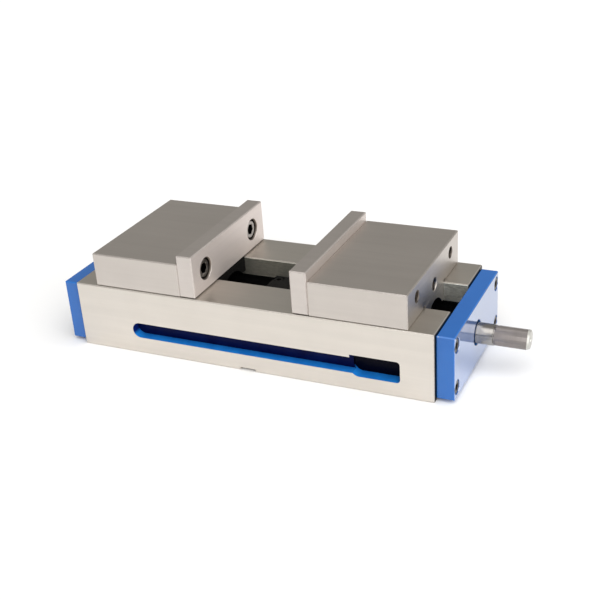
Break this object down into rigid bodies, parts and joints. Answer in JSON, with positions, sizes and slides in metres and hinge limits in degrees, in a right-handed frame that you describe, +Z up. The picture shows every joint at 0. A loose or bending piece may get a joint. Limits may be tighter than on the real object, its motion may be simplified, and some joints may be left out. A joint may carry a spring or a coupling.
{
  "type": "machine vise",
  "caption": "Self-centring milling vise: two jaws with bolted plates slide on a low bed, drawn together by one square-ended screw.",
  "frame": {"origin": "middle of the cross keyway, on the bed's base plane and centre line", "axes": "+X along the screw towards its square drive, +Y across the jaws, +Z up from the base"},
  "size_m": [0.453, 0.152, 0.111],
  "materials": {
    "ground_iron": "ground",
    "ground_jaw": "ground",
    "hardened_steel": "fine ground",
    "blue_paint": "gloss",
    "black_steel": "black oxide",
    "turned_steel": "turned",
    "nut_iron": "machined",
    "bronze": "turned"
  },
  "bodies": {
    "bed": {"bed": "ground_iron", "left_end_plate": "blue_paint", "right_end_plate": "blue_paint", "left_end_screws": "black_steel", "right_end_screws": "black_steel", "bearing_base": "black_steel", "bearing_cap": "black_steel", "bearing_screws": "black_steel", "bearing_dowels": "hardened_steel", "left_thrust_washer": "bronze", "right_thrust_washer": "bronze"},
    "right_jaw": {"right_jaw": "ground_jaw", "right_jaw_plate": "hardened_steel", "right_jaw_plate_screws": "black_steel", "right_nut": "nut_iron", "right_half_ball": "hardened_steel", "right_set_screw": "black_steel"},
    "left_jaw": {"left_jaw": "ground_jaw", "left_jaw_plate": "hardened_steel", "left_jaw_plate_screws": "black_steel", "left_nut": "nut_iron", "left_half_ball": "hardened_steel", "left_set_screw": "black_steel"},
    "screw": {"lead_screw": "turned_steel"}
  },
  "joints": [
    {"name": "right_jaw_slide", "type": "slide", "parent": "bed", "child": "right_jaw", "axis": [1, 0, 0], "range_m": [-0.049, 0.02]},
    {"name": "left_jaw_slide", "type": "slide", "parent": "bed", "child": "left_jaw", "axis": [-1, 0, 0], "range_m": [-0.049, 0.02]},
    {"name": "screw_turn", "type": "hinge", "parent": "bed", "child": "screw", "pos_m": [0, 0, 0.035], "axis": [1, 0, 0], "range_deg": [-3528, 1440]}
  ],
  "couplings": [
    {"joint": "left_jaw_slide", "follows": "right_jaw_slide", "ratio": 1},
    {"joint": "screw_turn", "follows": "right_jaw_slide", "rad_per_m": 1256.6}
  ]
}
